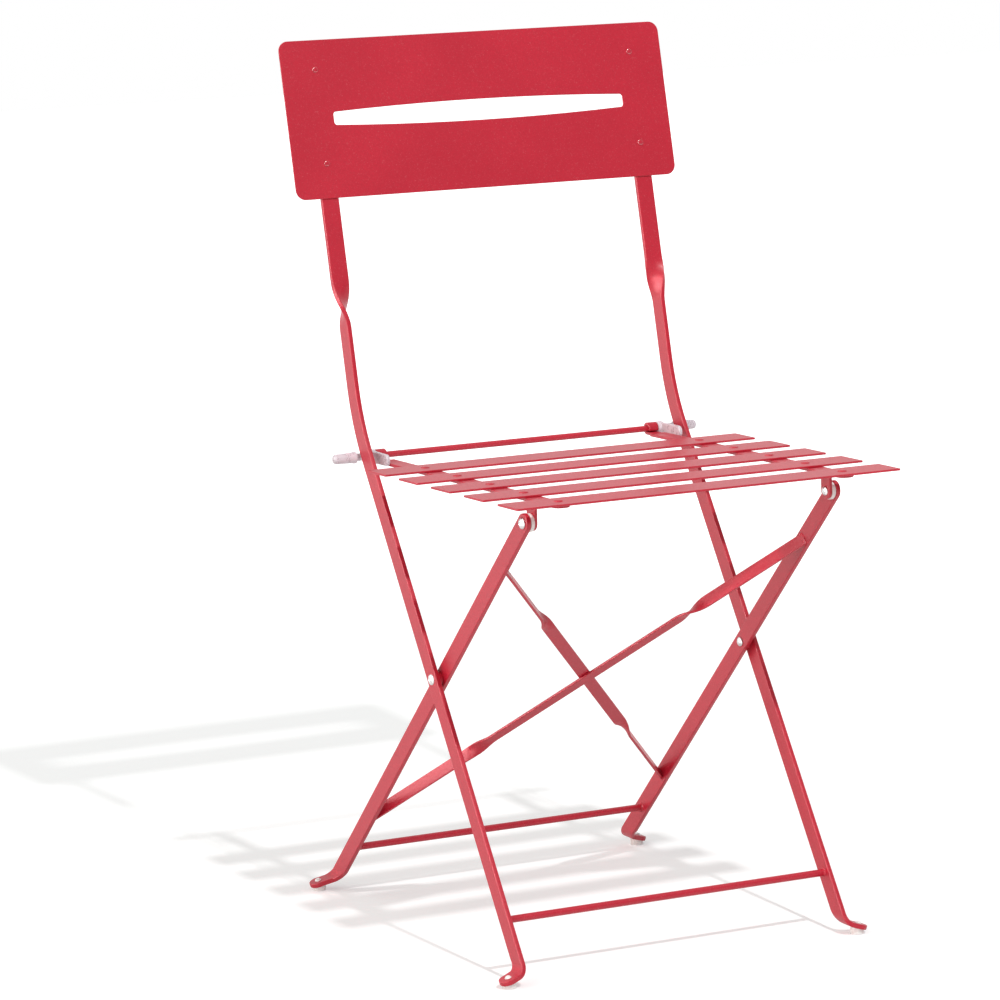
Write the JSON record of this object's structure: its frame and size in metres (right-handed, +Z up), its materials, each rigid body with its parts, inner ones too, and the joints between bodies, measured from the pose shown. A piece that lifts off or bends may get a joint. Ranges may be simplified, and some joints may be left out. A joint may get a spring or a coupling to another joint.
{
  "type": "folding bistro chair",
  "caption": "Folding chair of flat steel bar with a slatted seat, a sheet backrest with a lens-shaped slot, crossed braces and foot glides.",
  "frame": {"origin": "on the floor, under the middle of the chair's overall box", "axes": "+Z up, -Y the way the sitter faces, +X to the right as seen from the front"},
  "size_m": [0.4144, 0.4726, 0.8338],
  "materials": {
    "red_paint": "satin powder coat",
    "rivet_steel": "bare, lightly brushed",
    "washer_plastic": "matte",
    "glide_plastic": "translucent",
    "clear_plastic": "clear"
  },
  "bodies": {
    "back_frame": {"left_post_leg": "red_paint", "right_post_leg": "red_paint", "backrest_panel": "red_paint", "back_rivets": "red_paint", "front_stretcher": "red_paint", "front_glides": "glide_plastic", "left_middle_pivot_rivet": "rivet_steel", "right_middle_pivot_rivet": "rivet_steel", "left_middle_pivot_washer": "red_paint", "right_middle_pivot_washer": "red_paint"},
    "rear_leg_frame": {"left_rear_leg": "red_paint", "right_rear_leg": "red_paint", "rear_stretcher": "red_paint", "rising_brace": "red_paint", "falling_brace": "red_paint", "rear_glides": "glide_plastic"},
    "seat": {"left_seat_rail": "red_paint", "right_seat_rail": "red_paint", "seat_slat_1": "red_paint", "seat_slat_2": "red_paint", "seat_slat_3": "red_paint", "seat_slat_4": "red_paint", "seat_slat_5": "red_paint", "slat_rivets": "red_paint", "left_seat_bracket": "red_paint", "right_seat_bracket": "red_paint", "left_seat_pivot_rivet": "rivet_steel", "right_seat_pivot_rivet": "rivet_steel", "left_seat_pivot_washer": "washer_plastic", "right_seat_pivot_washer": "washer_plastic", "rear_cross_rod": "red_paint", "left_rod_sleeve": "clear_plastic", "right_rod_sleeve": "clear_plastic", "left_rod_cheek": "clear_plastic", "right_rod_cheek": "clear_plastic"}
  },
  "joints": [
    {"name": "leg_fold", "type": "hinge", "parent": "back_frame", "child": "rear_leg_frame", "pos_m": [0, -0.01267, 0.254], "axis": [-1, 0, 0], "range_deg": [0, 56]},
    {"name": "seat_fold", "type": "hinge", "parent": "rear_leg_frame", "child": "seat", "pos_m": [0, -0.17939, 0.42664], "axis": [1, 0, 0], "range_deg": [0, 105]}
  ],
  "couplings": [
    {"joint": "seat_fold", "follows": "leg_fold", "ratio": 1.875}
  ]
}
